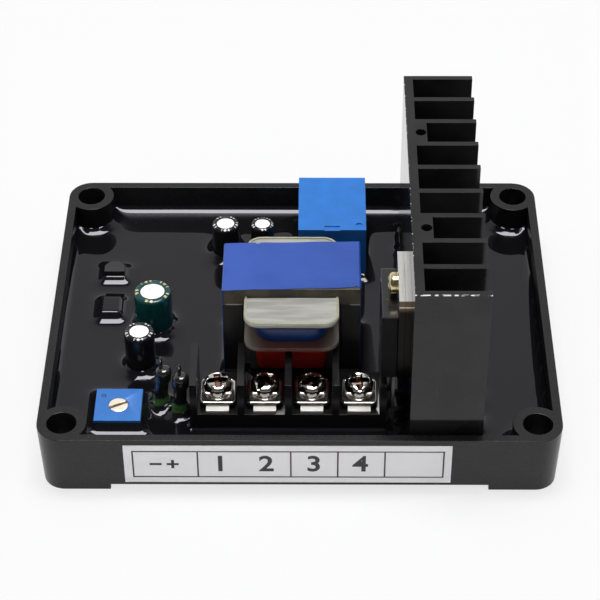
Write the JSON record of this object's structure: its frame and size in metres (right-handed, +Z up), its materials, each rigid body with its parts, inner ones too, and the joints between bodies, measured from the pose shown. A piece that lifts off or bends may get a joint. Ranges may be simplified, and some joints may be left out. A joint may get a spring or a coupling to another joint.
{
  "type": "automatic voltage regulator",
  "caption": "Potted tray-shaped voltage regulator for a brush generator, with a sensing transformer, relay, trimmer, barrier terminals and a finned heat sink.",
  "frame": {"origin": "centre of the four mounting holes, on the plane that the feet stand on", "axes": "+X to the right along the labelled front, +Y to the back, +Z up out of the tray"},
  "size_m": [0.105, 0.0841, 0.0494],
  "materials": {
    "case_plastic": "black moulded plastic, satin to glossy",
    "potting_resin": "black cast resin, mirror smooth",
    "label_film": "white printed film",
    "board_laminate": "glass laminate with solder mask",
    "black_anodised": "black anodised extrusion with bare scuffs",
    "zinc_steel": "zinc plated",
    "mould_compound": "moulding compound",
    "tinned_copper": "tinned metal",
    "bare_aluminium": "bright rolled",
    "yellow_zinc": "yellow passivated zinc",
    "core_steel": "varnished silicon steel laminations",
    "blue_tape": "polyester tape",
    "bobbin_plastic": "natural translucent plastic",
    "upper_winding_tape": "dark blue winding tape",
    "lower_winding_tape": "dark red winding tape",
    "relay_plastic": "moulded plastic, satin",
    "green_sleeve": "shrunk vinyl sleeve",
    "black_sleeve": "shrunk vinyl sleeve",
    "bung_rubber": "moulded rubber",
    "trimmer_plastic": "moulded plastic, satin",
    "rotor_brass": "plated brass",
    "terminal_plastic": "moulded plastic, satin",
    "nickel_plate": "nickel plated steel",
    "resistor_lacquer": "dark green lacquer, resin splashed",
    "diode_glass": "amber glass",
    "resistor_ceramic": "lacquered ceramic"
  },
  "bodies": {
    "root": {"case": "case_plastic", "potting": "potting_resin", "label": "label_film", "circuit_board": "board_laminate", "heat_sink": "black_anodised", "heat_sink_screws": "zinc_steel", "power_device_body": "mould_compound", "power_device_tab": "tinned_copper", "power_device_leads": "tinned_copper", "spacer_plate": "bare_aluminium", "device_screw": "yellow_zinc", "core_e_stack": "core_steel", "core_i_stack": "core_steel", "core_tape": "blue_tape", "bobbin": "bobbin_plastic", "upper_winding": "upper_winding_tape", "lower_winding": "lower_winding_tape", "transformer_pins": "tinned_copper", "relay_case": "relay_plastic", "relay_pins": "tinned_copper", "green_capacitor_can": "bare_aluminium", "green_capacitor_sleeve": "green_sleeve", "black_capacitor_can": "bare_aluminium", "black_capacitor_sleeve": "black_sleeve", "rear_left_capacitor_can": "bare_aluminium", "rear_left_capacitor_sleeve": "black_sleeve", "rear_right_capacitor_can": "bare_aluminium", "rear_right_capacitor_sleeve": "black_sleeve", "capacitor_bungs": "bung_rubber", "capacitor_leads": "tinned_copper", "trimmer_body": "trimmer_plastic", "trimmer_pins": "tinned_copper", "terminal_block": "terminal_plastic", "contact_plates": "nickel_plate", "transistor_bodies": "mould_compound", "transistor_leads": "tinned_copper", "standing_resistors": "resistor_lacquer", "standing_resistor_leads": "tinned_copper", "board_diodes": "diode_glass", "board_resistors": "resistor_ceramic"},
    "rotor": {"trimmer_rotor": "rotor_brass"},
    "washer_1": {"clamp_washer_1": "nickel_plate"},
    "washer_2": {"clamp_washer_2": "nickel_plate"},
    "washer_3": {"clamp_washer_3": "nickel_plate"},
    "washer_4": {"clamp_washer_4": "nickel_plate"},
    "screw_1": {"terminal_screw_1": "nickel_plate"},
    "screw_2": {"terminal_screw_2": "nickel_plate"},
    "screw_3": {"terminal_screw_3": "nickel_plate"},
    "screw_4": {"terminal_screw_4": "nickel_plate"}
  },
  "joints": [
    {"name": "trimmer_turn", "type": "hinge", "parent": "root", "child": "rotor", "pos_m": [-0.03705, -0.02715, 0.0092], "axis": [0, 0, 1], "range_deg": [-130, 130]},
    {"name": "washer_lift_1", "type": "slide", "parent": "root", "child": "washer_1", "axis": [0, 0, 1], "range_m": [0, 0.003]},
    {"name": "washer_lift_2", "type": "slide", "parent": "root", "child": "washer_2", "axis": [0, 0, 1], "range_m": [0, 0.003]},
    {"name": "washer_lift_3", "type": "slide", "parent": "root", "child": "washer_3", "axis": [0, 0, 1], "range_m": [0, 0.003]},
    {"name": "washer_lift_4", "type": "slide", "parent": "root", "child": "washer_4", "axis": [0, 0, 1], "range_m": [0, 0.003]},
    {"name": "screw_turn_1", "type": "hinge", "parent": "washer_1", "child": "screw_1", "pos_m": [-0.01663, -0.0263, 0.013], "axis": [0, 0, 1], "range_deg": [0, 1800]},
    {"name": "screw_turn_2", "type": "hinge", "parent": "washer_2", "child": "screw_2", "pos_m": [-0.00708, -0.0263, 0.013], "axis": [0, 0, 1], "range_deg": [0, 1800]},
    {"name": "screw_turn_3", "type": "hinge", "parent": "washer_3", "child": "screw_3", "pos_m": [0.00247, -0.0263, 0.013], "axis": [0, 0, 1], "range_deg": [0, 1800]},
    {"name": "screw_turn_4", "type": "hinge", "parent": "washer_4", "child": "screw_4", "pos_m": [0.01202, -0.0263, 0.013], "axis": [0, 0, 1], "range_deg": [0, 1800]}
  ],
  "couplings": [
    {"joint": "screw_turn_1", "follows": "washer_lift_1", "rad_per_m": 10470},
    {"joint": "screw_turn_2", "follows": "washer_lift_2", "rad_per_m": 10470},
    {"joint": "screw_turn_3", "follows": "washer_lift_3", "rad_per_m": 10470},
    {"joint": "screw_turn_4", "follows": "washer_lift_4", "rad_per_m": 10470}
  ]
}
